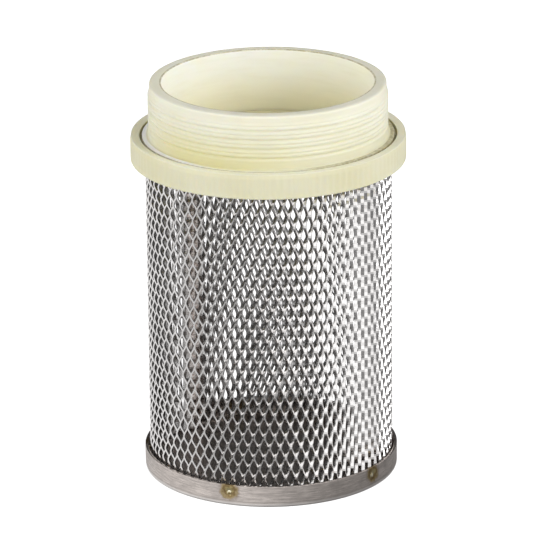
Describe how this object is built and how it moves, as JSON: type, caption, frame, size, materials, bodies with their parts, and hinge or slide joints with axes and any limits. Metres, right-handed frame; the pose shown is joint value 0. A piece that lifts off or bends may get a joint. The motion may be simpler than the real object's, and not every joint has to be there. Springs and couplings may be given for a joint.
{
  "type": "foot valve",
  "caption": "Foot valve for a suction hose: nylon collar with a male pipe thread, spring-loaded check poppet in its bore, and a stainless expanded-metal strainer closed by a pressed cap.",
  "frame": {"origin": "centre of the bottom cap's underside, on the valve's axis", "axes": "+Z along the axis from the cap to the thread, -Y to the front, +X to the right"},
  "size_m": [0.0684, 0.0684, 0.1008],
  "materials": {
    "ivory_nylon": "semi-matt moulded nylon, slightly translucent",
    "white_acetal": "smooth moulded acetal",
    "black_nitrile": "matt moulded rubber",
    "stainless_steel": "brushed, mill finish",
    "expanded_stainless": "bright expanded sheet, unflattened",
    "spring_wire": "drawn wire",
    "heat_tinted_weld": "straw-coloured heat tint"
  },
  "bodies": {
    "valve_body": {"threaded_collar": "ivory_nylon", "valve_seat": "ivory_nylon", "seat_o_ring": "black_nitrile", "guide_bush": "white_acetal", "return_spring": "spring_wire", "strainer_mesh": "expanded_stainless", "seam_weld_1": "heat_tinted_weld", "seam_weld_2": "heat_tinted_weld", "seam_weld_3": "heat_tinted_weld", "seam_weld_4": "heat_tinted_weld", "bottom_cap": "stainless_steel", "cap_weld_1": "heat_tinted_weld", "cap_weld_2": "heat_tinted_weld", "cap_weld_3": "heat_tinted_weld", "cap_weld_4": "heat_tinted_weld", "cap_weld_5": "heat_tinted_weld"},
    "poppet": {"poppet_plate": "white_acetal", "poppet_seal": "black_nitrile", "seal_retainer": "stainless_steel", "poppet_stem": "stainless_steel", "spring_cup": "stainless_steel", "stem_clip": "spring_wire"}
  },
  "joints": [
    {"name": "poppet_lift", "type": "slide", "parent": "valve_body", "child": "poppet", "axis": [0, 0, 1], "range_m": [0, 0.0045], "stiffness_N_per_m": 1600, "springref_m": -0.003, "deforming": ["return_spring"]}
  ]
}
